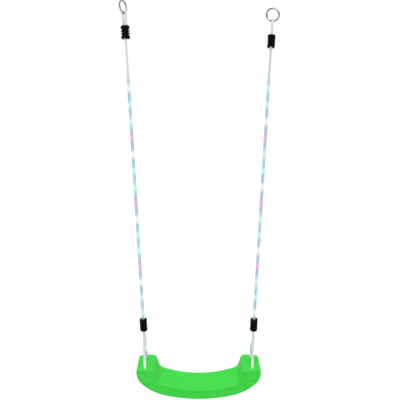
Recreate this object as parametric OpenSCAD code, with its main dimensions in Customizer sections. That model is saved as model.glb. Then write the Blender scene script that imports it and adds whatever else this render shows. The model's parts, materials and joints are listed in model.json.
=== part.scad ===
// Board swing with two lit ropes: a contoured moulded seat hangs on two hollow braided ropes.
// Each rope carries a string of lights, two black rope adjusters and a steel ring at its top.
// Units are millimetres. +X runs to the right, -Y is the front of the seat, +Z is up.
// The origin is the spot where the hook bears inside the top of the right-hand ring.

/* [Seat] */
// Width of the seat, end to end
seat_w = 438; // [434:1:439]
// Depth of the seat, front to back
seat_d = 180; // [174:1:186]
// Drop from the raised end pads to the middle of the sitting surface
seat_sag = 71; // [70:0.5:73]
// Radius of the sitting surface along its length
sag_r = 414; // [408:1:420]
// Height of the skirt at the middle of the seat
skirt_h = 30; // [29:0.5:31]
// Radius of the skirt's lower edge along most of its length
low_r = 530; // [520:1:540]
// Radius of the skirt's lower edge where it turns up towards each end
mid_r = 171; // [168:0.5:174]
// Radius of the skirt's lower edge at each end
end_r = 60; // [59:0.5:62]
// Slope of the ramp between a pad and the sitting surface, in degrees
ramp_a = 71; // [69:1:73]
// Distance from the middle to the top of the ramp
ramp_x = 157; // [155:0.5:159]
// Radius at the top of the ramp
ramp_r1 = 15; // [13:0.5:17]
// Radius at the foot of the ramp
ramp_r2 = 26; // [22:0.5:30]
// Corner radius of the seat in plan
plan_r = 16; // [10:1:20]
// Wall thickness of the moulded shell
shell_t = 4; // [3.5:0.1:4.5]
// Set-back of the raised ends above the skirt band
ear_step = 3; // [2:0.5:3.5]

/* [Ropes] */
// Distance from the middle to each pair of rope holes
hole_x = 189; // [188:0.5:190]
// Distance of each rope hole from the middle line, front and back
hole_y = 55; // [54:0.5:56]
// Outward lean of each rope, in degrees
lean = 2.8; // [2.6:0.05:3]
// Diameter of the bare rope
rope_d = 8.2; // [8:0.05:8.3]
// Diameter of the rope where it carries the lights
lit_d = 10.4; // [10.2:0.05:10.5]
// Length along the rope from the pads to the top of the lit part
lit_top = 1003; // [995:1:1010]
// Length along the rope from the pads to the upper right adjuster
upper_l = 1108; // [1101:1:1116]
// Extra rope let out on the left-hand side
left_extra = 30; // [20:1:40]
// Length along the rope from the pads to the lower adjusters
lower_l = 118; // [117:1:120]
// Distance of each doubled strand from the adjuster's axis
strand_y = 5.5; // [5.4:0.05:5.6]

/* [Adjusters] */
// Height of an adjuster
adj_h = 47.5; // [46.5:0.5:48.5]
// Width of an adjuster across its two strands
adj_w = 30.6; // [30.2:0.1:31]
// Depth of an adjuster the other way
adj_d = 26; // [25.5:0.1:26.5]
// Rounding of an adjuster's ends
adj_r = 6; // [5:0.5:7]
// Height of each grip groove
groove_h = 4; // [3.6:0.1:4.2]
// Height of each thin grip rib
rib_h = 4.8; // [4.4:0.1:5]
// Radius of the body inside the grooves
core_r = 11.4; // [11.3:0.05:11.6]

/* [Rings] */
// Outside diameter of a ring
ring_od = 47.4; // [46:0.2:49]
// Thickness of the ring's wire
ring_wire = 5.4; // [5.2:0.05:5.5]
// Turn of the left ring about its rope, in degrees
left_turn = 64; // [54:1:70]
// Tip of the left ring about the bar that its rope hangs on, in degrees
left_tip = 8; // [0:1:14]
// Gap between a rope's loop and the ring bar
loop_gap = 0.35; // [0.3:0.01:0.5]

/* [Lights] */
// Spacing of the lights along the rope
led_pitch = 56.4; // [56:0.1:56.8]
// Number of lights above each lower adjuster
led_n = 15; // [15:1:15]
// Length along the rope from the pads to the highest light
led_first = 975; // [970:1:980]
// Diameter of the string's jacket
wire_d = 2.4; // [2.2:0.05:2.6]
// Diameter of one light's bead
bead_d = 3.8; // [3.6:0.05:3.9]
// Length of one light's bead
bead_l = 7; // [6:0.5:8]

/* [Battery box] */
// Length of the box along the seat
box_w = 96; // [96:0.5:98]
// Size of the box front to back
box_d = 60; // [60:0.5:62]
// Depth of the box without its lid
box_h = 18.8; // [18.6:0.1:19]
// Wall thickness of the box
box_t = 2; // [1.9:0.05:2.1]
// Thickness of the lid
lid_t = 2.2; // [2:0.1:2.3]
// Diameter of the power button
button_d = 10; // [9.6:0.1:10.2]
// Travel of the power button
button_travel = 1; // [0.8:0.05:1]

/* [View] */
// Which node to draw

/* [Hidden] */
eps = 0.01;
skin = 0.06;
right = 1;
left = -1;

// Levels of the seat in the XZ plane: pads at 0, sitting surface and skirt below them.
sag_cz = sag_r - seat_sag;
low_cz = low_r - seat_sag - skirt_h;
mid_xt = 121;
mid_dir = [mid_xt, -sqrt(low_r * low_r - mid_xt * mid_xt)] / low_r;
mid_c = [0, low_cz] + (low_r - mid_r) * mid_dir;
end_dir = [sin(44.5), -cos(44.5)];
end_c = mid_c + (mid_r - end_r) * end_dir;
end_xt = mid_c[0] + mid_r * end_dir[0];
ear_y = seat_d / 2 - ear_step;
step_lift = 0.5;
plan_over = 0.4;
fair = 0.05;

// Strands between the pads and a lower adjuster.
turn_r = 16;
turn_l = lower_l - 2;
strand_a = atan((hole_y - strand_y - turn_r) / turn_l)
    + asin(turn_r / norm([hole_y - strand_y - turn_r, turn_l]));
turn_out_y = strand_y + turn_r * (1 - cos(strand_a));
turn_out_l = turn_l - turn_r * sin(strand_a);
under_r = 10;
under_l = -9;
under_y = hole_y - under_l * tan(strand_a);
under_cy = under_y - under_r * cos(strand_a);
under_cl = under_l - under_r * sin(strand_a);
run_l = under_cl - under_r;
seat_lit_d = 9.6;

// Upper loop: its bight goes over the ring's lower bar, its strands close up to the adjuster.
bight_r = ring_wire / 2 + loop_gap + rope_d / 2;
close_drop = 20.6;
close_a = atan(close_drop / strand_y) - acos(bight_r / norm([close_drop, strand_y]));
cross_r = 12;
cross_a = acos(1 - strand_y / (2 * cross_r));
cross_h = 2 * cross_r * sin(cross_a);
tail_up = 12;

// Lower adjuster's mouth: the main rope ends in a ball there, which is where it flexes.
mouth_drop = 2;
mouth_r = lit_d / 2 + 0.5;
slot_d = rope_d + 0.8;
mouth_l = lower_l + adj_h - mouth_drop;

// Rings.
ring_r = (ring_od - ring_wire) / 2;
function extra(s) = s == left ? left_extra : 0;
function adj_l(s) = upper_l + extra(s);
function bar_l(s) = adj_l(s) + adj_h + (s == left ? 39.5 : 43);
ring_cl = bar_l(right) + ring_r;
hook_x = hole_x + ring_cl * sin(lean);
hook_z = ring_cl * cos(lean) + ring_r - ring_wire / 2;

// Battery box levels below the pads.
box_top = -seat_sag - shell_t - 1;
box_low = box_top - box_h;
lid_low = box_low - lid_t;
cell_d = 14.4;
cell_l = 50.5;
cell_x = -17;
cell_y = 15.6;
cell_z = box_top - box_t - cell_d / 2 - 0.5;
board_x = 31;
board_z = box_low + 7.6;
boss_x = box_w / 2 - 4.5;
boss_y = box_d / 2 - 4;
post_x = box_w / 2 + 6.5;
post_y = 21;
lug_z = box_top - 7;
gutter_y = 66;
lead_r = sag_r + 11.5;
lead_turn_x = 125;
function lead_in_x(s) = s == right ? 38 : 24;
function lead_in_z(s) = sag_cz - sqrt(lead_r * lead_r - pow(lead_in_x(s), 2));

c_seat = "#46db55";
c_steel = "#b9bdc2";
c_black = "#141415";
c_rope = "#dfe3e6";
c_light = "#9fd3ea";
c_box = "#2b2d30";

// ---- frames ----

module to_frame() {
    translate([-hook_x, 0, -hook_z]) children();
}

// Z runs up the rope of one side, from the pads.
module on_rope(s) {
    to_frame() translate([s * hole_x, 0, 0]) rotate([0, s * lean, 0]) children();
}

// As on_rope, turned with that side's ring.
module on_loop(s) {
    on_rope(s) rotate([0, 0, s == left ? left_turn : 0]) children();
}

module rod(p, q, d) {
    v = q - p;
    translate(p) rotate([0, acos(v[2] / norm(v)), atan2(v[1], v[0])])
        cylinder(h = norm(v), d = d, $fn = 32);
}

// Bend of a round bar in the YZ plane, about (cy, cz), angles counted from +Y towards +Z.
// It is a shade thicker than the bars it joins and laps a little way over each.
module bend(cy, cz, r, a0, a1, d) {
    lap = 23 / r * sign(a1 - a0);
    translate([0, cy, cz]) rotate([90, 0, 90]) rotate([0, 0, a0 - lap])
        rotate_extrude(angle = a1 - a0 + 2 * lap, $fn = 96) translate([r, 0])
            circle(d = d + skin, $fn = 32);
}

module knob(d) {
    sphere(d = d + 2 * skin, $fn = 32);
}

// ---- seat ----

module seat_side_view() {
    intersection() {
        union() {
            intersection() {
                translate([0, low_cz]) circle(r = low_r, $fn = 360);
                translate([-mid_xt, -200]) square([2 * mid_xt, 220]);
            }
            for (s = [left, right]) scale([s, 1]) {
                intersection() {
                    translate(mid_c) circle(r = mid_r, $fn = 240);
                    translate([mid_xt - eps, -200]) square([end_xt - mid_xt + eps, 220]);
                }
                intersection() {
                    translate(end_c) circle(r = end_r, $fn = 180);
                    translate([end_xt - eps, -200]) square([100, 220]);
                }
            }
        }
        translate([-seat_w / 2, -200]) square([seat_w, 200]);
    }
}

// Everything above the seat's surface moved down and outwards by t.
module above_surface(t) {
    r1 = ramp_r1 - t;
    r2 = ramp_r2 + t;
    rs = sag_r + t;
    px = ramp_x + t / sin(ramp_a) - t / tan(ramp_a);
    t1 = r1 * tan(ramp_a / 2);
    a = px - sin(ramp_a) * r2;
    b = -t + cos(ramp_a) * r2 - sag_cz;
    k = a * cos(ramp_a) + b * sin(ramp_a);
    run = k + sqrt(k * k - (a * a + b * b - pow(rs - r2, 2)));
    foot = [px - cos(ramp_a) * run, -t - sin(ramp_a) * run];
    c2 = foot + r2 * [-sin(ramp_a), cos(ramp_a)];
    meet = [0, sag_cz] + (c2 - [0, sag_cz]) * rs / (rs - r2);
    head = [px - cos(ramp_a) * t1, -t - sin(ramp_a) * t1];
    c1 = [px + t1, -t - r1];
    translate([-300, -t]) square([600, 400]);
    intersection() {
        translate([0, sag_cz]) circle(r = rs, $fn = 360);
        translate([-meet[0], -200]) square([2 * meet[0], 201]);
    }
    for (s = [left, right]) scale([s, 1]) {
        polygon([[0, 1], [px, 1], [px, -t], foot, c2, meet, [0, -seat_sag + 10]]);
        translate(c2) circle(r = r2 + fair, $fn = 96);
        difference() {
            polygon([head, [px, -t], [px, 1], [c1[0], 1], c1]);
            translate(c1) circle(r = r1 + fair, $fn = 96);
        }
    }
}

module along_y(depth) {
    rotate([90, 0, 0]) linear_extrude(depth, center = true) children();
}

module seat_blank() {
    intersection() {
        difference() {
            along_y(seat_d) seat_side_view();
            along_y(seat_d + 2) above_surface(0);
            for (s = [-1, 1]) translate([0, s * (ear_y + 20), sag_cz]) rotate([90, 0, 0])
                cylinder(r = sag_r - step_lift, h = 40, center = true, $fn = 360);
        }
        translate([0, 0, -160]) linear_extrude(200) union() {
            square([seat_w + 2 * plan_over, seat_d - 2 * plan_r], center = true);
            square([seat_w + 2 * plan_over - 2 * plan_r, seat_d], center = true);
            for (sx = [-1, 1], sy = [-1, 1])
                translate([sx * (seat_w / 2 + plan_over - plan_r), sy * (seat_d / 2 - plan_r)])
                    circle(r = plan_r, $fn = 64);
        }
    }
}

module seat_hollow() {
    along_y(2 * (ear_y - shell_t)) difference() {
        translate([-seat_w / 2 + 9, -160]) square([seat_w - 18, 160]);
        above_surface(shell_t);
    }
}

// Moulded ribs, rope saddles and box posts under the shell.
module seat_under() {
    intersection() {
        union() {
            for (x = [-145, -105, -66, 66, 105, 145]) translate([x - 1.5, -50, -160])
                cube([3, 100, 160]);
            for (s = [left, right]) {
                for (y = [-post_y, post_y]) translate([s * post_x, y, lug_z])
                    cylinder(d = 8, h = 40, $fn = 32);
            }
        }
        translate([0, 0, shell_t + 6]) seat_blank();
    }
    for (s = [left, right]) translate([s * hole_x, 0, 0]) rotate([0, s * lean, 0]) {
        translate([-6, -38, run_l + rope_d / 2 + 0.3]) cube([12, 76, -run_l - rope_d / 2 - 3.3]);
        for (e = [0, 180]) rotate([0, 0, e]) rod([0, hole_y, 0] + strand_at(-2),
            [0, hole_y, 0] + strand_at(-9), 19);
    }
}

function strand_at(l) = [0, -l * tan(strand_a), l];

module seat() {
    color(c_seat) to_frame() difference() {
        union() {
            difference() {
                seat_blank();
                seat_hollow();
            }
            intersection() {
                seat_under();
                union() {
                    seat_hollow();
                    along_y(seat_d - 2) difference() {
                        seat_side_view();
                        above_surface(1);
                    }
                }
            }
        }
        for (s = [left, right]) translate([s * hole_x, 0, 0]) rotate([0, s * lean, 0])
            for (e = [0, 180]) rotate([0, 0, e]) rod([0, hole_y, 0] + strand_at(12),
                [0, hole_y, 0] + strand_at(-22), seat_lit_d + 1.2);
        for (s = [left, right], y = [-post_y, post_y]) translate([s * post_x, y, lug_z - 1])
            cylinder(d = 2.6, h = 7, $fn = 24);
    }
}

// ---- rings ----

module ring() {
    rotate([90, 0, 0]) rotate_extrude($fn = 96) translate([ring_r, 0])
        circle(d = ring_wire, $fn = 32);
}

module ring_right() {
    color(c_steel) on_loop(right) translate([0, 0, ring_cl]) ring();
}

module ring_left() {
    color(c_steel) on_loop(left) translate([0, 0, bar_l(left)]) rotate([-left_tip, 0, 0])
        translate([0, 0, ring_r]) ring();
}

// ---- adjusters ----

module round_bar_section() {
    union() {
        translate([-adj_d / 2, adj_r]) square([adj_d, adj_h - 2 * adj_r]);
        translate([-adj_d / 2 + adj_r, 0]) square([adj_d - 2 * adj_r, adj_h]);
        for (x = [-1, 1], z = [adj_r, adj_h - adj_r])
            translate([x * (adj_d / 2 - adj_r), z]) circle(r = adj_r, $fn = 48);
    }
}

// The single rope goes in at z = 0 and two strands come out at z = adj_h.
// The plain broad face is on +X, the ribbed one on -X.
module adjuster() {
    side = (adj_w - adj_d) / 2;
    grooves_z0 = (adj_h - 3 * groove_h - 2 * rib_h) / 2;
    difference() {
        union() {
            rotate([90, 0, 0]) linear_extrude(2 * side, center = true) round_bar_section();
            for (s = [-1, 1]) translate([0, s * side, 0]) rotate_extrude($fn = 96)
                intersection() {
                    round_bar_section();
                    square([adj_d, adj_h]);
                }
        }
        for (i = [0:2]) translate([0, 0, grooves_z0 + i * (groove_h + rib_h)]) difference() {
            translate([-20, -20, 0]) cube([40, 40, groove_h]);
            translate([0, 0, -1]) cylinder(r = core_r, h = groove_h + 2, $fn = 96);
            translate([0, -6, -1]) cube([adj_d / 2 + 1, 12, groove_h + 2]);
        }
        translate([0, 0, mouth_drop]) {
            for (a = [0, 90]) rotate([90, 0, a]) cylinder(r = mouth_r, h = 60, center = true,
                $fn = 64);
            for (a = [0, 90]) rotate([0, 0, a]) translate([-mouth_r, -30, -5])
                cube([2 * mouth_r, 60, 5]);
        }
        translate([0, 0, 2]) cylinder(d = slot_d, h = 20, $fn = 48);
        translate([-slot_d / 2, -strand_y, 14]) cube([slot_d, 2 * strand_y, adj_h]);
        for (s = [-1, 1]) translate([0, s * strand_y, 14])
            cylinder(d = slot_d, h = adj_h, $fn = 48);
    }
}

module upper_adjuster(s) {
    color(c_black) on_loop(s) translate([0, 0, adj_l(s)])
        rotate([0, 0, s == right ? 0 : 180]) adjuster();
}

module lower_adjuster(s) {
    color(c_black) on_rope(s) translate([0, 0, lower_l + adj_h])
        rotate([0, 180, s == right ? 180 : 0]) adjuster();
}

module adjuster_upper_right() { upper_adjuster(right); }
module adjuster_upper_left() { upper_adjuster(left); }
module adjuster_lower_right() { lower_adjuster(right); }
module adjuster_lower_left() { lower_adjuster(left); }

// ---- ropes ----

// Single rope on the axis at z = 0 crossing over to the strand at +Y, cross_h higher.
module cross_over(d) {
    bend(cross_r, 0, cross_r, 180, 180 - cross_a, d);
    bend(strand_y - cross_r, cross_h, cross_r, -cross_a, 0, d + skin);
}

module main_rope(s) {
    top = adj_l(s) + adj_h;
    cross_l = top - 2.2 - cross_h;
    bar = bar_l(s);
    close_l = bar - close_drop;
    tan_y = bight_r * cos(close_a);
    tan_l = bar - bight_r * sin(close_a);
    color(c_rope) {
        difference() {
            on_rope(s) union() {
                translate([0, 0, mouth_l]) sphere(d = lit_d - skin, $fn = 48);
                translate([0, 0, mouth_l]) cylinder(d = lit_d, h = lit_top - mouth_l, $fn = 48);
                translate([0, 0, lit_top]) cylinder(d1 = lit_d, d2 = rope_d, h = 12, $fn = 48);
                translate([0, 0, lit_top]) cylinder(d = rope_d, h = cross_l - lit_top, $fn = 48);
            }
            on_rope(s) translate([0, 0, mouth_l + 3])
                cylinder(d = bead_d + 0.6, h = lit_top - mouth_l - 8, $fn = 32);
        }
        on_loop(s) {
            translate([0, 0, cross_l]) cross_over(rope_d);
            rod([0, strand_y, top - 2.2], [0, strand_y, close_l], rope_d);
            translate([0, strand_y, close_l]) knob(rope_d);
            rod([0, strand_y, close_l], [0, tan_y, tan_l], rope_d);
            bend(0, bar, bight_r, -close_a, 180 + close_a, rope_d);
            rod([0, -tan_y, tan_l], [0, -strand_y, close_l], rope_d);
            translate([0, -strand_y, close_l]) knob(rope_d);
            rod([0, -strand_y, close_l], [0, -strand_y, top - tail_up], rope_d);
        }
    }
}

// One strand: from the lower adjuster out and down its hole, then in under the pad.
module seat_strand(d) {
    bend(strand_y + turn_r, turn_l, turn_r, 180, 180 + strand_a, d);
    rod([0, turn_out_y, turn_out_l], [0, under_y, under_l], d);
    bend(under_cy, under_cl, under_r, strand_a, -90, d);
}

module seat_rope(s) {
    top = lower_l + adj_h - 14.2;
    color(c_rope) on_rope(s) difference() {
        union() {
            translate([0, 0, top]) rotate([180, 0, 180]) cross_over(rope_d);
            rod([0, strand_y, top - cross_h], [0, strand_y, turn_l], rope_d);
            seat_strand(rope_d);
            rod([0, turn_out_y, turn_out_l] + strand_at(-4), [0, hole_y, 0] + strand_at(-7),
                seat_lit_d);
            rotate([0, 0, 180]) {
                rod([0, strand_y, lower_l + 16], [0, strand_y, turn_l], rope_d);
                seat_strand(rope_d);
            }
            rod([0, -under_cy, run_l], [0, under_cy, run_l], rope_d);
        }
        lead_path(bead_d + 0.6);
    }
}

// The light string inside the rear strand, from the adjuster's exit to below the hole.
module lead_path(d) {
    rod([0, strand_y, turn_l + 10], [0, strand_y, turn_l], d);
    bend(strand_y + turn_r, turn_l, turn_r, 180, 180 + strand_a, d);
    rod([0, turn_out_y, turn_out_l], [0, hole_y, 0] + strand_at(-24), d);
}

module rope_right() { main_rope(right); }
module rope_left() { main_rope(left); }
module seat_rope_right() { seat_rope(right); }
module seat_rope_left() { seat_rope(left); }

// ---- lights ----

module light_string(s) {
    low = led_first - (led_n - 1) * led_pitch - 12;
    color(c_light) on_rope(s) {
        translate([0, 0, low]) cylinder(d = wire_d, h = led_first + 16 - low, $fn = 24);
        for (i = [0:led_n - 1]) translate([0, 0, led_first - i * led_pitch - bead_l / 2])
            cylinder(d = bead_d, h = bead_l, $fn = 24);
    }
}

// Cable from the box, along the rear gutter and up into the rear strand, with its one light.
module light_lead(s) {
    low = [0, hole_y, 0] + strand_at(-21);
    led = [0, hole_y, 0] + strand_at(46);
    step = [0, -sin(strand_a), cos(strand_a)] * bead_l / 2;
    hole_low = [s * (hole_x + low[2] * sin(lean)), low[1], low[2] * cos(lean)];
    knee = [s * 164, gutter_y, -50];
    turn_z = sag_cz - sqrt(lead_r * lead_r - lead_turn_x * lead_turn_x);
    in_z = lead_in_z(s);
    a_out = asin(lead_turn_x / lead_r);
    a_in = asin(lead_in_x(s) / lead_r);
    color(c_light) {
        on_rope(s) {
            rod([0, strand_y, turn_l + 9], [0, strand_y, turn_l], wire_d);
            bend(strand_y + turn_r, turn_l, turn_r, 180, 180 + strand_a, wire_d);
            rod([0, turn_out_y, turn_out_l], low, wire_d);
            rod(led - step, led + step, bead_d);
        }
        to_frame() {
            translate(hole_low) knob(wire_d);
            rod(hole_low, knee, wire_d);
            translate(knee) knob(wire_d);
            rod(knee, [s * lead_turn_x, gutter_y, turn_z], wire_d);
            translate([s * lead_turn_x, gutter_y, turn_z]) knob(wire_d);
            translate([0, gutter_y, sag_cz]) rotate([90, 0, 0]) rotate([0, 0, -90])
                rotate([0, 0, s == right ? a_in : -a_out])
                    rotate_extrude(angle = s == right ? a_out - a_in : a_out + a_in, $fn = 720)
                        translate([lead_r, 0]) circle(d = wire_d + skin, $fn = 24);
            translate([lead_in_x(s), gutter_y, in_z]) knob(wire_d);
            rod([lead_in_x(s), gutter_y, in_z], [lead_in_x(s), box_d / 2 - 5, in_z], wire_d);
        }
    }
}

module led_string_right() { light_string(right); }
module led_string_left() { light_string(left); }
module led_lead_right() { light_lead(right); }
module led_lead_left() { light_lead(left); }

// ---- battery box ----

module corners(x, y) {
    for (sx = [-1, 1], sy = [-1, 1]) translate([sx * x, sy * y, 0]) children();
}

module battery_case() {
    color(c_box) to_frame() difference() {
        union() {
            translate([-box_w / 2, -box_d / 2, box_low]) difference() {
                cube([box_w, box_d, box_h]);
                translate([box_t, box_t, -1])
                    cube([box_w - 2 * box_t, box_d - 2 * box_t, box_h - box_t + 1]);
            }
            translate([board_x - 16, -box_d / 2 + 1, box_low]) cube([1.6, box_d - 2, box_h - 1]);
            translate([0, 0, box_low]) intersection() {
                corners(boss_x, boss_y) cylinder(d = 7, h = box_h - 1, $fn = 32);
                translate([-box_w / 2, -box_d / 2, 0]) cube([box_w, box_d, box_h]);
            }
            for (s = [-1, 1]) translate([board_x, s * 18, board_z + 1.7])
                cylinder(d = 4, h = box_top - board_z - 2.6, $fn = 24);
            for (s = [left, right], y = [-post_y, post_y]) translate([s * post_x, y, lug_z - 3])
                union() {
                    cylinder(d = 9, h = 2.9, $fn = 32);
                    translate([s > 0 ? -7 : 0, -4.5, 0]) cube([7, 9, 2.9]);
                }
        }
        for (s = [left, right]) translate([lead_in_x(s), box_d / 2 + 1, lead_in_z(s)])
            rotate([90, 0, 0]) cylinder(d = wire_d + 1, h = box_t + 2, $fn = 24);
        translate([0, 0, box_low - 1]) corners(boss_x, boss_y)
            cylinder(d = 2.2, h = 9, $fn = 24);
        for (s = [left, right], y = [-post_y, post_y]) translate([s * post_x, y, lug_z - 4])
            cylinder(d = 3.4, h = 5, $fn = 24);
    }
}

module battery_lid() {
    color(c_box) to_frame() difference() {
        union() {
            translate([-box_w / 2, -box_d / 2, lid_low]) cube([box_w, box_d, lid_t - 0.1]);
            translate([-box_w / 2 + box_t + 9, -box_d / 2 + box_t + 0.3, box_low - 0.2])
                cube([40, 1.4, 1.6]);
            translate([-box_w / 2 + box_t + 9, box_d / 2 - box_t - 1.7, box_low - 0.2])
                cube([40, 1.4, 1.6]);
            for (i = [0:4]) translate([-40, -18 + i * 9 - 1, lid_low - 0.8]) cube([34, 2, 1]);
        }
        translate([0, 0, lid_low - 1]) corners(boss_x, boss_y) {
            cylinder(d = 3, h = 5, $fn = 24);
            cylinder(d = 5, h = 2, $fn = 24);
        }
        translate([board_x, 0, lid_low - 1]) cylinder(d = button_d + 0.8, h = 5, $fn = 48);
    }
}

module screw(shaft_d, shaft_l, head_d, head_h) {
    difference() {
        union() {
            cylinder(d = head_d, h = head_h, $fn = 24);
            cylinder(d = shaft_d, h = head_h + shaft_l, $fn = 24);
        }
        for (a = [0, 90]) rotate([0, 0, a]) translate([-0.35, -1.3, -1]) cube([0.7, 2.6, 1.7]);
    }
}

module lid_screws() {
    color(c_steel) to_frame() translate([0, 0, lid_low + 0.1]) corners(boss_x, boss_y)
        screw(2, 8, 4.4, 0.9);
}

module case_screws() {
    color(c_steel) to_frame() translate([0, 0, lug_z - 4.8]) corners(post_x, post_y)
        screw(2.4, 8, 5.6, 1.7);
}

module cells() {
    color("#3a5fa8") to_frame() for (i = [-1, 0, 1])
        translate([cell_x, i * cell_y, cell_z]) rotate([0, i == 0 ? -90 : 90, 0]) union() {
            translate([0, 0, -cell_l / 2]) cylinder(d = cell_d, h = cell_l - 1, $fn = 48);
            translate([0, 0, -cell_l / 2]) cylinder(d = 5.4, h = cell_l, $fn = 32);
        }
}

module contacts() {
    x_lo = cell_x - cell_l / 2 - 0.4;
    x_hi = cell_x + cell_l / 2 + 0.4;
    color(c_steel) to_frame() for (i = [-1, 0, 1], e = [-1, 1])
        translate([e < 0 ? x_lo : x_hi, i * cell_y, cell_z]) rotate([0, e * 90, 0]) union() {
            cylinder(d = 6, h = 1.8, $fn = 24);
            translate([-5, -5, 1.4]) cube([10, 10, 0.5]);
        }
}

module circuit_board() {
    color("#2f7d4f") to_frame() translate([board_x, 0, board_z]) union() {
        translate([-12, -21.5, 0]) cube([26, 43, 1.6]);
        translate([-3, -3, -3.2]) cube([6, 6, 3.3]);
        translate([-8, 9, -1.6]) cube([7, 5, 1.7]);
        translate([3, -14, -2]) cube([6, 4, 2.1]);
    }
}

module power_button() {
    low = lid_low - 1;
    flange = box_low + 0.1;
    color("#c8352f") to_frame() translate([board_x, 0, 0]) union() {
        translate([0, 0, low]) cylinder(d = button_d, h = flange - low + 1, $fn = 48);
        translate([0, 0, flange]) cylinder(d = button_d + 3, h = 1, $fn = 48);
        translate([0, 0, low + 1]) cylinder(d = 4,
            h = board_z - 3.2 - button_travel - 0.15 - low - 1, $fn = 24);
    }
}

seat();
ring_right();
ring_left();
adjuster_upper_right();
adjuster_upper_left();
adjuster_lower_right();
adjuster_lower_left();
rope_right();
rope_left();
seat_rope_right();
seat_rope_left();
led_string_right();
led_string_left();
led_lead_right();
led_lead_left();
battery_case();
battery_lid();
lid_screws();
case_screws();
cells();
contacts();
circuit_board();
power_button();
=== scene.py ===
# Board swing with two lit ropes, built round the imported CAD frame.
# Places are in metres; sections that work in millimetres say so.
import json
import math

import bmesh
import bpy
import numpy as np
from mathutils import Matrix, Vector


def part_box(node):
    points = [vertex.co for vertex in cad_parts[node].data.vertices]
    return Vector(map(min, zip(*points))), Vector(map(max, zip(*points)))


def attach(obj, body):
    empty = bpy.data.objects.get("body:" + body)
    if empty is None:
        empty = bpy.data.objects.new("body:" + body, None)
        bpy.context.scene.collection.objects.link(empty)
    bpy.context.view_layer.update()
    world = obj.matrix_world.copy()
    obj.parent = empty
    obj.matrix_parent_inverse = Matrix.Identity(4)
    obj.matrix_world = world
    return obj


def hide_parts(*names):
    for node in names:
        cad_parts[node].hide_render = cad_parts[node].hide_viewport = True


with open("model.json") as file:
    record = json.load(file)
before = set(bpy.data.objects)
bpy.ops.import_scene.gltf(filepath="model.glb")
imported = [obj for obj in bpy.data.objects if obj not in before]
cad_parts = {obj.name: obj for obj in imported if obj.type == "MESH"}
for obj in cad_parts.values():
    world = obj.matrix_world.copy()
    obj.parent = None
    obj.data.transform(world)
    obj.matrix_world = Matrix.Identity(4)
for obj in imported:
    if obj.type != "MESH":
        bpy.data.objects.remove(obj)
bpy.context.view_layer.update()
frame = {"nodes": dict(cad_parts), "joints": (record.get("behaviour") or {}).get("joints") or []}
MM = 0.001
TINY = 1e-6
scene = bpy.context.scene
joints = {joint["name"]: joint for joint in frame["joints"]}

# ---------------------------------------------------------------- places, from the frame
# A side is 1 for the right rope and -1 for the left one.
SIDE_NAMES = {1: "right", -1: "left"}
seat_lo, seat_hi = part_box("seat")
mid_x = (seat_lo.x + seat_hi.x) / 2
pad_z = seat_hi.z
seat_mid = np.array((mid_x, 0, pad_z))
up = {
    side: np.array(Vector(joints["adjuster_slide_" + name]["axis"]))
    for side, name in SIDE_NAMES.items()
}
HOLE_X, HOLE_Y = 189.0, 55.0


def turned(x, y, angle):
    """The points (x, y) turned about the origin."""
    cosine, sine = math.cos(angle), math.sin(angle)
    return x * cosine - y * sine, x * sine + y * cosine


def rope_axes(side):
    """Where a rope's axis meets the pads' level (m), and its sideways and upward directions."""
    upward = up[side]
    sideways = np.array((upward[2], 0, -upward[0]))
    foot = seat_mid + np.array((side * HOLE_X * MM, 0, 0))
    return foot, sideways, upward


def from_rope(side, x, y, height, turn):
    """Places in the frame (m) of points in a rope's own axes (mm), turned about the rope."""
    foot, sideways, upward = rope_axes(side)
    x, y = turned(x, y, turn)
    away = np.array((0, 1, 0))
    return foot + MM * (x[..., None] * sideways + y[..., None] * away + height[..., None] * upward)


def to_rope(side, points, turn):
    """The reverse of from_rope."""
    foot, sideways, upward = rope_axes(side)
    from_foot = (points - foot) / MM
    x, y = turned(from_foot @ sideways, from_foot[:, 1], -turn)
    return x, y, from_foot @ upward


# ---------------------------------------------------------------- camera
CAMERA_ASIDE, CAMERA_BACK, CAMERA_ABOVE = 0.0048, 2.85, 1.062
CAMERA_DOWN = 9.4


def make_camera():
    """The view from the front and a little above."""
    data = bpy.data.cameras.new("camera")
    data.sensor_width = 36
    data.lens = 74.97
    data.clip_end = 100
    camera = bpy.data.objects.new("camera", data)
    scene.collection.objects.link(camera)
    camera.location = (mid_x + CAMERA_ASIDE, -CAMERA_BACK, pad_z + CAMERA_ABOVE)
    camera.rotation_euler = (math.radians(90 - CAMERA_DOWN), 0, 0)
    scene.camera = camera


make_camera()


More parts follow.
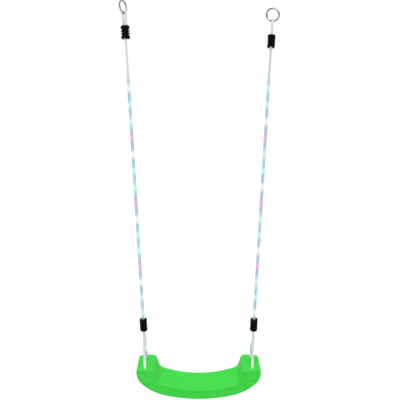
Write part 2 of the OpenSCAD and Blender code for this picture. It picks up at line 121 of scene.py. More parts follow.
# ---------------------------------------------------------------- material helpers
class Mat:
    """A small builder for node materials round one Principled shader."""

    def __init__(self, name):
        self.material = bpy.data.materials.new(name)
        self.material.use_nodes = True
        self.tree = self.material.node_tree
        self.shader = self.tree.nodes["Principled BSDF"]

    def put(self, socket, value):
        """Link a socket, or set a constant on it."""
        if isinstance(value, bpy.types.NodeSocket):
            self.tree.links.new(value, socket)
        else:
            socket.default_value = value

    def node(self, kind, **sockets):
        """Add a node; socket names have _ for each space."""
        node = self.tree.nodes.new(kind)
        for name, value in sockets.items():
            self.put(node.inputs[name.replace("_", " ")], value)
        return node

    def set(self, **sockets):
        for name, value in sockets.items():
            self.put(self.shader.inputs[name.replace("_", " ")], value)

    def math(self, operation, a, b):
        node = self.tree.nodes.new("ShaderNodeMath")
        node.operation = operation
        self.put(node.inputs[0], a)
        self.put(node.inputs[1], b)
        return node.outputs[0]

    def times(self, a, b):
        return self.math("MULTIPLY", a, b)

    def blend(self, a, b, share):
        """A share of a and the rest of b."""
        return self.math("ADD", self.times(a, share), self.times(b, 1 - share))

    def coord(self):
        return self.node("ShaderNodeTexCoord").outputs["Object"]

    def noise(self, scale, detail=3.0, rough=0.5, place=None):
        node = self.node("ShaderNodeTexNoise", Scale=scale, Detail=detail, Roughness=rough)
        self.tree.links.new(place or self.coord(), node.inputs["Vector"])
        return node.outputs["Fac"]

    def ramp(self, factor, stops, kind="LINEAR"):
        node = self.node("ShaderNodeValToRGB", Fac=factor)
        elements = node.color_ramp.elements
        node.color_ramp.interpolation = kind
        while len(elements) < len(stops):
            elements.new(0.5)
        for element, (position, colour) in zip(elements, stops):
            element.position = position
            element.color = (*colour, 1)
        return node.outputs["Color"]

    def value(self, factor, low, high):
        """A factor of 0 to 1 spread from low to high."""
        return self.node("ShaderNodeMapRange", Value=factor, To_Min=low, To_Max=high).outputs["Result"]

    def mix(self, factor, a, b):
        node = self.tree.nodes.new("ShaderNodeMix")
        node.data_type = "RGBA"
        self.put(node.inputs[0], factor)
        for place, colour in ((6, a), (7, b)):
            constant = isinstance(colour, tuple)
            self.put(node.inputs[place], (*colour, 1) if constant else colour)
        return node.outputs[2]

    def scaled(self, colour, factor):
        node = self.tree.nodes.new("ShaderNodeVectorMath")
        node.operation = "SCALE"
        self.put(node.inputs[0], colour)
        self.put(node.inputs["Scale"], factor)
        return node.outputs["Vector"]

    def attribute(self, name, output="Fac"):
        node = self.tree.nodes.new("ShaderNodeAttribute")
        node.attribute_name = name
        return node.outputs[output]

    def bump(self, height, strength, distance):
        node = self.node("ShaderNodeBump", Height=height, Strength=strength, Distance=distance)
        self.set(Normal=node.outputs["Normal"])


def times_each(colour, factor):
    """A constant colour made lighter or darker."""
    return tuple(min(1, part * factor) for part in colour)


# ---------------------------------------------------------------- materials
def moulded(name, colour, rough, grain=900, depth=0.25, specular=0.5, vary=0.06):
    """Moulded plastic with a soft mottling and a fine grain."""
    m = Mat(name)
    fine = m.noise(grain, 3, 0.6)
    mottle = m.blend(m.noise(14, 2), fine, 0.6)
    m.set(
        Base_Color=m.mix(mottle, times_each(colour, 1 - vary), times_each(colour, 1 + vary)),
        Roughness=m.value(m.noise(60, 4, 0.6), rough - 0.06, rough + 0.07),
        Specular_IOR_Level=specular,
    )
    m.bump(fine, depth, 0.0004)
    return m.material


def metal(name, colour, rough):
    """Drawn metal with fine lines and duller patches."""
    m = Mat(name)
    stretched = m.node("ShaderNodeMapping", Vector=m.coord(), Scale=(60, 60, 900))
    lines = m.noise(3, 4, 0.7, stretched.outputs["Vector"])
    cloud = m.noise(120, 3, 0.6)
    m.set(
        Base_Color=m.ramp(cloud, [(0.38, times_each(colour, 0.36)), (0.62, times_each(colour, 1.25))]),
        Roughness=m.value(cloud, rough - 0.1, rough + 0.16),
        Metallic=1.0,
    )
    m.bump(lines, 0.12, 0.0002)
    return m.material


def seat_green():
    """Matt moulded polyethylene: a fine grain, soft mottling and painted shade darkening the lower rim.
    """
    m = Mat("green_plastic")
    mottle = m.blend(m.noise(95, 3, 0.6), m.noise(14, 2), 0.6)
    fine = m.noise(620, 3, 0.65)
    tone = m.times(m.value(mottle, 0.86, 1.12), m.value(fine, 0.95, 1.05))
    # Painted shade: the colour darkens by up to a quarter towards the seat's lower outline.
    tone = m.times(tone, m.value(m.attribute("rim_shade"), 1.0, 0.74))
    m.set(
        Base_Color=m.scaled((0.051, 0.69, 0.066), tone),
        Roughness=m.value(m.noise(60, 4, 0.6), 0.55, 0.68),
        Specular_IOR_Level=0.08,
    )
    m.bump(fine, 0.4, 0.0005)
    return m.material


def cell_material():
    """A printed jacket in bands along the cell, with bare metal at both ends."""
    m = Mat("cell_jacket")
    along = m.node("ShaderNodeSeparateXYZ", Vector=m.coord()).outputs["X"]
    lo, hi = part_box("cells")
    share = m.node("ShaderNodeMapRange", Value=along, From_Min=lo.x, From_Max=hi.x)
    bare, blue, gold = (0.55, 0.55, 0.53), (0.03, 0.09, 0.34), (0.62, 0.60, 0.55)
    bands = [(0.0, bare), (0.035, blue), (0.30, gold), (0.965, bare)]
    wear = m.noise(400, 4)
    jacket = m.ramp(share.outputs["Result"], bands, "CONSTANT")
    m.set(
        Base_Color=m.mix(m.times(wear, 0.25), jacket, (0.2, 0.2, 0.2)),
        Roughness=m.value(wear, 0.22, 0.4),
    )
    return m.material


def light_material():
    """The clear jacket of a string of lights, glowing a little."""
    m = Mat("light_jacket")
    cloud = m.noise(90, 3)
    m.set(
        Base_Color=m.mix(cloud, (0.52, 0.70, 0.80), (0.72, 0.86, 0.93)),
        Roughness=m.value(m.noise(700, 3), 0.18, 0.34),
        Emission_Color=m.mix(cloud, (0.45, 0.72, 0.95), (0.80, 0.95, 1.0)),
        Emission_Strength=m.value(cloud, 0.1, 0.3),
    )
    return m.material


def rope_material():
    """Braid in the colours of the mesh, with painted shade in the grooves between strands and lighter
    crowns, and lit from inside.
    """
    m = Mat("rope_braid")
    colour = m.attribute("tint", "Color")
    crown = m.attribute("crown")
    fibre = m.noise(2600, 3, 0.65)
    cloud = m.noise(55, 3, 0.5)
    # Painted shade: the colour is darker in the braid's grooves and lighter on the strands' crowns.
    shade = m.times(m.value(crown, 0.90, 1.02), m.value(fibre, 0.93, 1.05))
    shade = m.times(shade, m.value(cloud, 0.95, 1.03))
    m.set(
        Base_Color=m.scaled(colour, shade),
        Roughness=m.value(fibre, 0.5, 0.72),
        Emission_Color=colour,
        # The glow is weaker in the grooves too: painted shade.
        Emission_Strength=m.times(m.attribute("glow"), m.value(crown, 0.06, 0.12)),
        Sheen_Weight=0.08,
        Specular_IOR_Level=0.02,
    )
    m.bump(fibre, 0.35, 0.0003)
    return m.material


green = seat_green()
black = moulded("black_plastic", (0.0014, 0.0014, 0.0017), 0.25, 1500, 0.2, specular=0.05, vary=0.3)
steel = metal("ring_steel", (0.27, 0.272, 0.28), 0.42)
braid = rope_material()
lights = light_material()
screw_steel = metal("screw_steel", (0.58, 0.58, 0.57), 0.3)
nickel = metal("contact_nickel", (0.72, 0.69, 0.62), 0.26)
box_dark = moulded("box_plastic", (0.025, 0.027, 0.03), 0.5, 1300, 0.35, specular=0.4, vary=0.2)
button_red = moulded("button_red", (0.60, 0.025, 0.02), 0.45, 1600, 0.2)
board_green = moulded("board_green", (0.02, 0.19, 0.06), 0.3, 2400, 0.1, vary=0.3)

CAD_LOOKS = (
    (lights, ("led_string_right", "led_string_left", "led_lead_right", "led_lead_left")),
    (box_dark, ("battery_case", "battery_lid")),
    (screw_steel, ("lid_screws", "case_screws")),
    (nickel, ("contacts",)),
    (cell_material(), ("cells",)),
    (board_green, ("circuit_board",)),
    (button_red, ("power_button",)),
)
for look, names in CAD_LOOKS:
    for name in names:
        slots = frame["nodes"][name].data.materials
        slots.clear()
        slots.append(look)


# ---------------------------------------------------------------- mesh helpers
def make_piece(name, points, faces, material, body, attributes):
    """A smooth piece from points (m) and faces, with a value or a colour on each point."""
    mesh = bpy.data.meshes.new(name)
    mesh.from_pydata(points.tolist(), [], faces)
    for key, values in attributes.items():
        if np.ndim(values) == 2:
            layer = mesh.attributes.new(key, "FLOAT_COLOR", "POINT")
            layer.data.foreach_set("color", np.ravel(values).astype(np.float32))
        else:
            layer = mesh.attributes.new(key, "FLOAT", "POINT")
            layer.data.foreach_set("value", values.astype(np.float32))
    mesh.update()
    return place_piece(name, mesh, material, body)


def place_piece(name, mesh, material, body):
    """Put a finished mesh in the scene, smooth, in its material and riding its body."""
    mesh.name = name
    mesh.polygons.foreach_set("use_smooth", np.ones(len(mesh.polygons), bool))
    mesh.materials.clear()
    mesh.materials.append(material)
    piece = bpy.data.objects.new(name, mesh)
    scene.collection.objects.link(piece)
    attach(piece, body)
    return piece


def tube_faces(rings, around, closed=False):
    """Quads between the rings of a tube; a closed one joins its last ring to its first."""
    steps = rings if closed else rings - 1
    i, j = np.meshgrid(np.arange(steps), np.arange(around), indexing="ij")
    near, far = i * around, (i + 1) % rings * around
    beside = (j + 1) % around
    return np.stack([near + j, near + beside, far + beside, far + j], -1).reshape(-1, 4).tolist()


def blend_step(x, lo, hi):
    """0 below lo, 1 above hi and smooth between them."""
    t = np.clip((np.asarray(x, float) - lo) / (hi - lo), 0, 1)
    return t * t * (3 - 2 * t)


def arc_points(centre, radius, start, end, count):
    """Points on an arc, with its angles from start to end."""
    angles = np.linspace(start, end, count)
    return [(centre[0] + radius * math.cos(a), centre[1] + radius * math.sin(a)) for a in angles]


def get_points(mesh):
    flat = np.empty(len(mesh.vertices) * 3)
    mesh.vertices.foreach_get("co", flat)
    return flat.reshape(-1, 3)


def set_points(mesh, points):
    mesh.vertices.foreach_set("co", points.ravel())
    mesh.update()


def carrier_of(mesh):
    """An object that lends a mesh its modifiers for a moment."""
    carrier = bpy.data.objects.new("carrier", mesh)
    scene.collection.objects.link(carrier)
    return carrier


def baked(carrier):
    """The carrier's mesh with its modifiers applied; the carrier itself goes."""
    evaluated = carrier.evaluated_get(bpy.context.evaluated_depsgraph_get())
    result = bpy.data.meshes.new_from_object(evaluated)
    bpy.data.objects.remove(carrier)
    return result


def softened(node, voxel, passes):
    """A CAD node's mesh with its edges softened by a voxel remesh and smoothing."""
    mesh = frame["nodes"][node].data.copy()
    bm = bmesh.new()
    bm.from_mesh(mesh)
    bmesh.ops.remove_doubles(bm, verts=bm.verts, dist=TINY)
    bm.to_mesh(mesh)
    bm.free()
    carrier = carrier_of(mesh)
    voxels = carrier.modifiers.new("voxels", "REMESH")
    voxels.mode = "VOXEL"
    voxels.voxel_size = voxel
    smoothing = carrier.modifiers.new("smoothing", "SMOOTH")
    smoothing.factor = 0.5
    smoothing.iterations = passes
    return baked(carrier)


def thinned(mesh, faces_wanted):
    """The mesh in triangles, about faces_wanted of them at most."""
    bm = bmesh.new()
    bm.from_mesh(mesh)
    bmesh.ops.triangulate(bm, faces=bm.faces)
    bm.to_mesh(mesh)
    bm.free()
    if len(mesh.polygons) <= faces_wanted:
        return mesh
    carrier = carrier_of(mesh)
    thinning = carrier.modifiers.new("thinning", "DECIMATE")
    thinning.ratio = faces_wanted / len(mesh.polygons)
    return baked(carrier)


# ---------------------------------------------------------------- ropes
# Sizes in mm. Heights run up each rope from the level of the pads, and y runs to the back.
LEFT_TURN, LEFT_TIP = math.radians(64), math.radians(8)
ROPE_R, LIT_R, SEAT_LIT_R = 4.1, 5.2, 4.8
LIT_SWELL = 0.6
LOOP_R = 4.4
LOWER_L, UPPER_L, LEFT_EXTRA = 118.0, 1108.0, 30.0
ADJUSTER_H, ADJUSTER_W, ADJUSTER_D = 47.5, 30.6, 26.0
STRAND_Y, MOUTH_L, LIT_TOP = 5.5, 163.5, 1003.0
LIT_TAPER = 12.0
CROSS_TOP, CROSS_BOTTOM = 2.2, 14.2
FREE_END, FRONT_END = 12.0, 16.0
RING_R, WIRE_R = 21.0, 2.7
BAR_RIGHT, BAR_LEFT = 43.0, 39.5

TURN_R, UNDER_R, UNDER_L = 16.0, 10.0, -9.0
TURN_L = LOWER_L - 2
turn_y = HOLE_Y - STRAND_Y - TURN_R
STRAND_A = math.atan(turn_y / TURN_L) + math.asin(TURN_R / math.hypot(turn_y, TURN_L))

CROSS_R = 12.0
CROSS_A = math.acos(1 - STRAND_Y / (2 * CROSS_R))
CROSS_H = 2 * CROSS_R * math.sin(CROSS_A)

BIGHT_R = WIRE_R + 0.35 + ROPE_R
CLOSE_DROP = 20.6
close_far = math.hypot(CLOSE_DROP, STRAND_Y)
CLOSE_A = math.atan(CLOSE_DROP / STRAND_Y) - math.acos(BIGHT_R / close_far)

ROPE_STEP, ROPE_AROUND = 1.1, 42
BALL_RINGS, FLAT_RINGS, FLAT_DEPTH = 6, 3, 0.35
NARROWEST = 0.02
BRAID_STRANDS, BRAID_LEAD, BRAID_DEPTH = 6, 46.0, 0.55
STRAND_ROUND, STRAND_RISE = 0.94, 0.55
GROOVE_AT, CROWN_AT = 0.45, 1.55
SWELL_FROM, SWELL_TO = 4.0, 9.0
BEND_FROM, BEND_TO = 2.0, 7.0
LOOP_BLEND = 3.0


def adjuster_l(side):
    """Height of the lower end of an upper adjuster."""
    return UPPER_L + (LEFT_EXTRA if side < 0 else 0)


def bar_l(side):
    """Height of the wire that a rope's loop hangs from."""
    return adjuster_l(side) + ADJUSTER_H + (BAR_LEFT if side < 0 else BAR_RIGHT)


def rope_arc(y, height, radius, start, end):
    """An arc of a rope's route with points about ROPE_STEP apart."""
    count = max(3, int(abs(end - start) * radius / ROPE_STEP) + 1)
    return arc_points((y, height), radius, start, end, count)


def crossing():
    """An S-bend from the middle of an adjuster up to its rear strand."""
    low = rope_arc(CROSS_R, 0, CROSS_R, math.pi, math.pi - CROSS_A)
    return low + rope_arc(STRAND_Y - CROSS_R, CROSS_H, CROSS_R, -CROSS_A, 0)[1:]


def main_route(side):
    """(y, height) from the lower adjuster's mouth up over the ring's wire and back down."""
    top = adjuster_l(side) + ADJUSTER_H
    cross_l = top - CROSS_TOP - CROSS_H
    bar = bar_l(side)
    route = [(0, MOUTH_L), (0, cross_l)]
    route += [(y, cross_l + height) for y, height in crossing()]
    route.append((STRAND_Y, bar - CLOSE_DROP))
    route += rope_arc(0, bar, BIGHT_R, -CLOSE_A, math.pi + CLOSE_A)
    return route + [(-STRAND_Y, bar - CLOSE_DROP), (-STRAND_Y, top - FREE_END)]


def seat_route():
    """(y, height) from the lower adjuster down the rear hole, under the pad and up the front."""
    top = LOWER_L + ADJUSTER_H - CROSS_BOTTOM
    under_y = HOLE_Y - UNDER_L * math.tan(STRAND_A) - UNDER_R * math.cos(STRAND_A)
    under_l = UNDER_L - UNDER_R * math.sin(STRAND_A)
    half = rope_arc(STRAND_Y + TURN_R, TURN_L, TURN_R, math.pi, math.pi + STRAND_A)
    half += rope_arc(under_y, under_l, UNDER_R, STRAND_A, -math.pi / 2)
    rear = [(y, top - height) for y, height in crossing()] + half
    front = [(-y, height) for y, height in reversed(half)]
    return rear + front + [(-STRAND_Y, LOWER_L + FRONT_END)]


def evenly(route):
    """Points about ROPE_STEP apart along a route, and the length run at each of them."""
    points = np.array(route, float)
    gaps = np.hypot(*np.diff(points, axis=0).T)
    points = points[np.concatenate([[True], gaps > TINY])]
    run = np.concatenate([[0], np.cumsum(np.hypot(*np.diff(points, axis=0).T))])
    even = np.linspace(0, run[-1], int(run[-1] / ROPE_STEP) + 1)
    return np.stack([np.interp(even, run, points[:, 0]), np.interp(even, run, points[:, 1])], 1), even


def braid_height(turn, run):
    """0 in a groove of a diamond braid, 1 on the crown of a strand."""
    u = BRAID_STRANDS * (turn / (2 * math.pi) + run / BRAID_LEAD)
    v = BRAID_STRANDS * (turn / (2 * math.pi) - run / BRAID_LEAD)
    i, j = np.floor(u), np.floor(v)
    over_a = np.cos(math.pi * (v - 0.5 + i))
    over_b = -np.cos(math.pi * (u - 0.5 + j))
    crown_a = np.sqrt(np.clip(1 - (2 * (u - i) - 1) ** 2 * STRAND_ROUND, 0, 1))
    crown_b = np.sqrt(np.clip(1 - (2 * (v - j) - 1) ** 2 * STRAND_ROUND, 0, 1))
    height = np.maximum(crown_a + STRAND_RISE * over_a, crown_b + STRAND_RISE * over_b)
    return np.clip((height - GROOVE_AT) / (CROWN_AT - GROOVE_AT), 0, 1)


def with_closed_ends(points, run, radii, tangents, ball):
    """The four rows with rings added that close both ends, the first in a ball if asked."""
    rings, depth = (BALL_RINGS, 1.0) if ball else (FLAT_RINGS, FLAT_DEPTH)
    closing = np.linspace(math.pi / 2, 0, rings + 1)[:-1]
    out = np.sin(closing)
    narrow = np.maximum(np.cos(closing), NARROWEST)
    first = points[0] - tangents[0] * (out * radii[0] * depth)[:, None]
    last = points[-1] + tangents[-1] * (out[::-1] * radii[-1] * FLAT_DEPTH)[:, None]
    return (
        np.concatenate([first, points, last]),
        np.concatenate([run[0] - out * 3, run, run[-1] + out[::-1] * 3]),
        np.concatenate([narrow * radii[0], radii, narrow[::-1] * radii[-1]]),
        np.concatenate([np.repeat(tangents[:1], rings, 0), tangents, np.repeat(tangents[-1:], rings, 0)]),
    )


def sweep(side, route, turn, radius, ball):
    """Points (m) and faces of a braided rope, with each point's (y, height) and crown."""
    points, run = evenly(route)
    tangents = np.gradient(points, axis=0)
    tangents /= np.linalg.norm(tangents, axis=1)[:, None]
    points, run, radii, tangents = with_closed_ends(points, run, radius(points), tangents, ball)
    angle = np.arange(ROPE_AROUND) * 2 * math.pi / ROPE_AROUND
    crown = braid_height(angle[None, :], run[:, None])
    groove = BRAID_DEPTH * np.minimum(1, radii / ROPE_R)
    reach = radii[:, None] - groove[:, None] * (1 - crown)
    out = reach * np.sin(angle)[None, :]
    y = points[:, :1] - tangents[:, 1:] * out
    height = points[:, 1:] + tangents[:, :1] * out
    skin = from_rope(side, reach * np.cos(angle)[None, :], y, height, turn)
    faces = tube_faces(len(points), ROPE_AROUND)
    last = (len(points) - 1) * ROPE_AROUND
    faces += [list(range(ROPE_AROUND))[::-1], [last + k for k in range(ROPE_AROUND)]]
    return skin.reshape(-1, 3), faces, np.repeat(points, ROPE_AROUND, 0), crown.reshape(-1)


def tint(stops, x):
    """Colours at x between stops in sRGB (0 to 255), as linear RGBA by the sRGB formula."""
    at = [position for position, _ in stops]
    rgb = np.stack([np.interp(x, at, [colour[k] for _, colour in stops]) for k in range(3)], 1) / 255
    low, high = rgb / 12.92, ((rgb + 0.055) / 1.055) ** 2.4
    return np.concatenate([np.where(rgb <= 0.04045, low, high), np.ones((len(rgb), 1))], 1)


def mixed(a, b, share):
    """Rows of colours: b where share is 0 and a where it is 1."""
    return a * share[:, None] + b * (1 - share[:, None])


# ---------------------------------------------------------------- the lights' colours
LIGHTS, LIGHT_PITCH, LIGHT_FIRST = 15, 56.4, 975.0
WHITE, CYAN, AQUA, PINK = (243, 250, 252), (206, 248, 252), (208, 250, 247), (236, 184, 230)
BETWEEN = {WHITE: (186, 217, 236), CYAN: (186, 220, 240), AQUA: (190, 236, 243), PINK: (190, 209, 236)}
ORDER = {1: (AQUA, CYAN, WHITE, PINK), -1: (WHITE, CYAN, AQUA, PINK)}
# Plain colours above the lights; the right rope's is darker than the left's, painted shade on two alike
# ropes.
UNLIT = {1: (219, 225, 230), -1: (233, 238, 241)}
LOOP_TINT = (238, 239, 240)
FRONT_TINTS = [(-60, (238, 246, 240)), (-30, (236, 244, 238)), (-5, (226, 229, 233))]
REAR_TINTS = {
    1: [(-60, (226, 222, 238)), (-34, (222, 218, 236)), (-16, (176, 180, 216)), (18, (178, 184, 218)),
        (40, (222, 240, 250)), (54, (226, 242, 250)), (72, (218, 220, 232))],
    -1: [(-60, (214, 192, 238)), (-26, (202, 188, 240)), (-5, (226, 236, 255)), (7, (226, 236, 255)),
         (26, (184, 188, 232)), (70, (186, 186, 220))],
}
ABOVE_FIRST = [(-0.7, (212, 230, 238)), (-0.38, (200, 226, 236))]
# Along a rope, in light pitches: half a spot's even core and half its faded width.
SPOT, WIDE_SPOT = (0.05, 0.17), (0.09, 0.25)
SPOT_FADE, CALM = 0.62, 0.34
GLOW_SPOT = (0.02, 0.32)
UNLIT_FROM, UNLIT_TO = 8.0, 90.0
LOOP_TINT_RUN = 12.0
# Along a rear strand, in mm up from its middle.
REAR_MIDDLE = 46.0
REAR_LIGHT, REAR_SPOT = {1: 46.0, -1: 0.0}, (4.0, 22.0)
REAR_Y, LOW_FRONT = (2.0, 8.0), (-34.0, -12.0)
REAR_GLOW, REAR_SPOT_GLOW, FRONT_GLOW = 3.2, 1.2, 0.9


def between(a, b, share):
    """One colour: a share of a and the rest of b."""
    return tuple(share * p + (1 - share) * q for p, q in zip(a, b))


def light_stops(order):
    """Colours along one rope, in light pitches down from the highest light."""
    stops = list(ABOVE_FIRST)
    for i in range(LIGHTS):
        light, following = order[i % len(order)], order[(i + 1) % len(order)]
        fade = between(light, BETWEEN[light], SPOT_FADE)
        core, edge = WIDE_SPOT if light == WHITE else SPOT
        stops += [(i - edge, fade), (i - core, light), (i + core, light), (i + edge, fade)]
        stops += [
            (i + CALM, BETWEEN[light]),
            (i + 0.5, between(BETWEEN[light], BETWEEN[following], 0.5)),
            (i + 1 - CALM, BETWEEN[following]),
        ]
    return stops


def main_rope(side):
    """The rope from a lower adjuster to its ring, lit over most of its length."""
    loop_l = adjuster_l(side) + ADJUSTER_H

    def radius(points):
        height = points[:, 1]
        lit_r = LIT_R + LIT_SWELL * blend_step(height, MOUTH_L + SWELL_FROM, MOUTH_L + SWELL_TO)
        taper = blend_step(height, LIT_TOP, LIT_TOP + LIT_TAPER)
        loop = blend_step(height, loop_l - LOOP_BLEND, loop_l + LOOP_BLEND)
        return lit_r + (ROPE_R - lit_r) * taper + (LOOP_R - ROPE_R) * loop

    turn = LEFT_TURN if side < 0 else 0.0
    points, faces, along, crown = sweep(side, main_route(side), turn, radius, ball=True)
    height = along[:, 1]
    phase = (LIGHT_FIRST - height) / LIGHT_PITCH
    lit = 1 - blend_step(height, LIGHT_FIRST + UNLIT_FROM, LIGHT_FIRST + UNLIT_TO)
    plain = tint([(loop_l - LOOP_TINT_RUN, UNLIT[side]), (loop_l, LOOP_TINT)], height)
    off_light = np.abs(phase - np.maximum(np.round(phase), 0))
    attributes = {
        "tint": mixed(tint(light_stops(ORDER[side]), phase), plain, lit),
        "crown": crown,
        "glow": (1 - blend_step(off_light, *GLOW_SPOT)) * lit,
    }
    name = SIDE_NAMES[side]
    rope = make_piece("braided_rope_" + name, points, faces, braid, "ropes", attributes)
    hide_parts("rope_" + name)


def seat_rope(side):
    """The rope below a lower adjuster, with its rear strand lit."""
    out_l = TURN_L - TURN_R * math.sin(STRAND_A)

    def radius(points):
        height = points[:, 1]
        below_turn = 1 - blend_step(height, out_l - SWELL_TO, out_l - SWELL_FROM)
        above_bend = blend_step(height, UNDER_L + BEND_FROM, UNDER_L + BEND_TO)
        return ROPE_R + (SEAT_LIT_R - ROPE_R) * np.minimum(below_turn, above_bend)

    points, faces, along, crown = sweep(side, seat_route(), 0.0, radius, ball=False)
    strand = (along[:, 1] - REAR_MIDDLE) / math.cos(STRAND_A)
    rear = blend_step(along[:, 0], *REAR_Y)
    spot = 1 - blend_step(np.abs(strand - REAR_LIGHT[side]), *REAR_SPOT)
    rear_glow = REAR_GLOW + REAR_SPOT_GLOW * spot
    front_glow = FRONT_GLOW * (1 - blend_step(strand, *LOW_FRONT))
    attributes = {
        "tint": mixed(tint(REAR_TINTS[side], strand), tint(FRONT_TINTS, strand), rear),
        "crown": crown,
        "glow": rear_glow * rear + front_glow * (1 - rear),
    }
    name = SIDE_NAMES[side]
    rope = make_piece("braided_seat_rope_" + name, points, faces, braid, "seat", attributes)
    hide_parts("seat_rope_" + name)


for side in SIDE_NAMES:
    main_rope(side)
    seat_rope(side)

# ---------------------------------------------------------------- rings
RING_STEPS, WIRE_STEPS = 180, 20
WELD_A = {1: 0.0, -1: math.pi * 0.9}
WELD_SPREAD, WELD_RISE = 0.085, 0.20
WIRE_WAVE, OUT_OF_ROUND = 0.015, 0.12


def ring(side):
    """A bent wire ring, a little out of round, with the low lump of its butt weld."""
    turn, tip = (LEFT_TURN, LEFT_TIP) if side < 0 else (0.0, 0.0)
    about = np.arange(RING_STEPS) * 2 * math.pi / RING_STEPS
    around = np.arange(WIRE_STEPS) * 2 * math.pi / WIRE_STEPS
    from_weld = np.angle(np.exp(1j * (about - WELD_A[side])))
    weld = np.exp(-((from_weld / WELD_SPREAD) ** 2))
    wire = WIRE_R * (1 - WIRE_WAVE * (1 + np.cos(5 * about + 1)) + WELD_RISE * weld)
    middle = RING_R + OUT_OF_ROUND * np.sin(3 * about + 0.6)
    reach = middle[:, None] + wire[:, None] * np.cos(around)
    x = reach * np.cos(about)[:, None]
    z = reach * np.sin(about)[:, None] + RING_R
    y = wire[:, None] * np.sin(around)
    y, z = turned(y, z, -tip)
    points = from_rope(side, x, y, z + bar_l(side), turn).reshape(-1, 3)
    faces = tube_faces(RING_STEPS, WIRE_STEPS, closed=True)
    name = SIDE_NAMES[side]
    piece = make_piece("wire_ring_" + name, points, faces, steel, "ring_" + name, {})
    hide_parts("ring_" + name)


for side in SIDE_NAMES:
    ring(side)

# ---------------------------------------------------------------- adjusters
DOME_R, MOUTH_EDGE_R = 5.5, 3.5
ADJUSTER_R, ADJUSTER_FLAT = ADJUSTER_D / 2, (ADJUSTER_W - ADJUSTER_D) / 2
ADJUSTER_VOXEL, ADJUSTER_PASSES, ADJUSTER_FACES = 0.0004, 14, 26000


def round_ends(mesh, side, turn, dome_up):
    """Round both ends of an adjuster's skin over, the closed end more than the mouth."""
    x, y, height = to_rope(side, get_points(mesh), turn)
    flat = np.clip(y, -ADJUSTER_FLAT, ADJUSTER_FLAT)
    out = np.hypot(x, y - flat)
    low, high = height.min(), height.max()
    grow = np.ones(len(height))
    for end, way in ((high, 1), (low, -1)):
        edge_r = DOME_R if (way > 0) == dome_up else MOUTH_EDGE_R
        past_out = out - (ADJUSTER_R - edge_r)
        past_end = (height - end) * way + edge_r
        in_corner = (past_out > 0) & (past_end > 0)
        far = np.maximum(np.hypot(past_out, past_end), TINY)
        pull = np.where(in_corner, np.minimum(1, edge_r / far), 1)
        pulled = (ADJUSTER_R - edge_r + past_out * pull) / np.maximum(out, TINY)
        grow = np.where(pull < 1, pulled, grow)
        height = np.where(pull < 1, end + way * (past_end * pull - edge_r), height)
    set_points(mesh, from_rope(side, x * grow, flat + (y - flat) * grow, height, turn))


def adjuster(side, place):
    """A black rope adjuster; the upper ones slide, and the lower ones ride with the seat."""
    node = "adjuster_" + place + "_" + SIDE_NAMES[side]
    mesh = softened(node, ADJUSTER_VOXEL, ADJUSTER_PASSES)
    upper = place == "upper"
    round_ends(mesh, side, LEFT_TURN if upper and side < 0 else 0.0, upper)
    mesh = thinned(mesh, ADJUSTER_FACES)
    piece = place_piece(node + "_moulded", mesh, black, node if upper else "seat")
    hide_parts(node)


for side in SIDE_NAMES:
    for place in ("upper", "lower"):
        adjuster(side, place)

# ---------------------------------------------------------------- seat
# Sizes in mm. x runs out from the middle of the seat, and z is up from the pads.
SAG, SKIRT_H = 71.0, 30.0
SAG_R = 414.0
LOW_R, MID_R, END_R = 530.0, 171.0, 60.0
MID_XT, END_A = 121.0, math.radians(44.5)
RAMP_X, RAMP_A = 157.0, math.radians(71)
RAMP_TOP_R, RAMP_FOOT_R = 15.0, 26.0
HALF_W, HALF_D, PLAN_R = 219.0, 90.0, 16.0
EAR_STEP = 3.0
FLARE, FLARE_H, LIP = 3.3, 31.0, 1.2
EDGE_R, PAD_EDGE_R, LOWER_EDGE_R = 1.9, 7.8, 2.5
PAD_EDGE_X = (194, 213)
EAR_LEVEL, EAR_BLEND = 0.5, (-1.2, 6.5)
FLARE_FROM, LIP_BLEND = 5.0, (0.6, 3.0)
# RIM_SHADE_BAND (mm): how far in from the lower outline the painted shade fades out.
SKIN_BAND, RIM_SHADE_BAND = (-2.2, -1.1), (0.6, 4.0)
SEAT_VOXEL, SEAT_PASSES, SEAT_FACES = 0.0012, 5, 185000
SAG_CZ, LOW_CZ = SAG_R - SAG, LOW_R - SAG - SKIRT_H
MID_DIR = np.array((MID_XT, -math.sqrt(LOW_R**2 - MID_XT**2))) / LOW_R
MID_C = np.array((0, LOW_CZ)) + (LOW_R - MID_R) * MID_DIR
END_DIR = np.array((math.sin(END_A), -math.cos(END_A)))
END_C = MID_C + (MID_R - END_R) * END_DIR
GRID_OUT, GRID_LOW, GRID_HIGH, GRID_EDGE = 230, -125, 25, 0.01
SAG_STEPS, FOOT_STEPS, RAMP_STEPS, HEAD_STEPS, PAD_STEPS = 200, 40, 30, 30, 120
CURVE_FROM, CURVE_TO, CURVE_GAP = -40, 262, 0.1
SEGMENTS_AT_ONCE = 20
SKIN_PULLS, PROBE, LEAST_SLOPE = 4, 0.05, 0.3


def ramp_run(cosine, sine):
    """Length down a pad's ramp to where its foot's curve starts, which also touches the sag."""
    x, z = RAMP_X - sine * RAMP_FOOT_R, cosine * RAMP_FOOT_R - SAG_CZ
    along = x * cosine + z * sine
    return along + math.sqrt(along**2 - (x * x + z * z - (SAG_R - RAMP_FOOT_R) ** 2))


